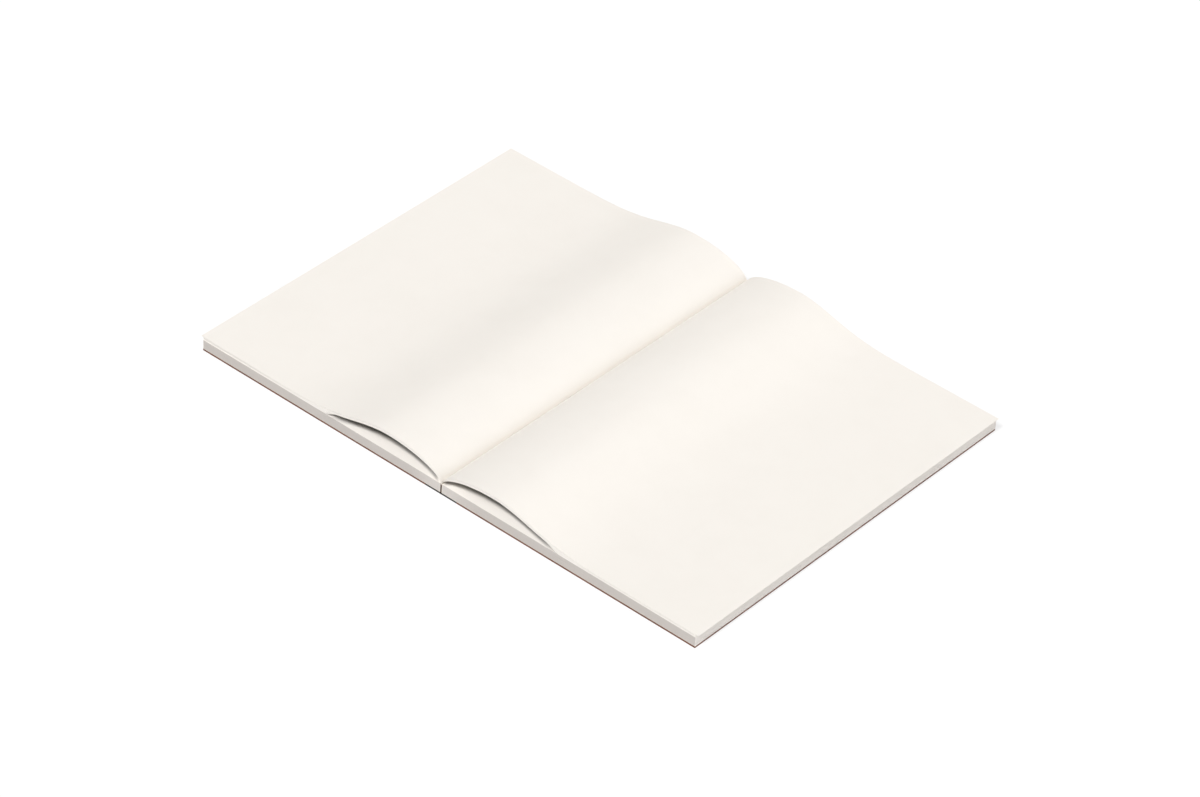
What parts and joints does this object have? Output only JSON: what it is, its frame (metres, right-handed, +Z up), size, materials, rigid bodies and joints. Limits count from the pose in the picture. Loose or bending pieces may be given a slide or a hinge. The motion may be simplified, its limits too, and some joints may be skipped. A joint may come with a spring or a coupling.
{
  "type": "opened notebook",
  "caption": "Softcover notebook lying open at its middle, with kraft card covers, a black cloth spine tape and blank pages whose topmost leaves arch up beside the gutter",
  "frame": {"origin": "middle of the outline on the surface the notebook lies on, under the gutter", "axes": "X across the spread with the right page at +X, Y along the spine away from the reader, Z up out of the pages"},
  "size_m": [0.2938, 0.21, 0.0165],
  "materials": {
    "page_edges": "trimmed edges of uncoated paper, matt",
    "paper": "uncoated off-white writing paper, matt",
    "kraft_card": "brown kraft card, matt and fibrous",
    "book_cloth": "black woven bookbinding cloth",
    "kraft_lining": "thin brown kraft paper, matt",
    "binding_glue": "off-white cold binding glue, satin"
  },
  "bodies": {
    "back_cover": {"back_cover": "kraft_card", "back_cover_tape": "book_cloth"},
    "right_pages": {"right_page_block": "page_edges", "right_upper_leaves": "paper", "right_spine_tape": "book_cloth", "right_spine_liner": "kraft_lining", "right_spine_glue": "binding_glue"},
    "left_pages": {"left_page_block": "page_edges", "left_upper_leaves": "paper", "left_spine_tape": "book_cloth", "left_spine_liner": "kraft_lining", "left_spine_glue": "binding_glue"},
    "front_cover": {"front_cover": "kraft_card", "front_cover_tape": "book_cloth"}
  },
  "joints": [
    {"name": "back_cover_hinge", "type": "hinge", "parent": "back_cover", "child": "right_pages", "pos_m": [0.00027, 0, 0], "axis": [0, -1, 0], "range_deg": [0, 85]},
    {"name": "gutter_fold", "type": "hinge", "parent": "right_pages", "child": "left_pages", "pos_m": [0, 0, 0.00637], "axis": [0, 1, 0], "range_deg": [0, 180], "deforming": ["left_upper_leaves", "right_upper_leaves"]},
    {"name": "front_cover_hinge", "type": "hinge", "parent": "left_pages", "child": "front_cover", "pos_m": [-0.00027, 0, 0], "axis": [0, -1, 0], "range_deg": [0, 85]}
  ]
}
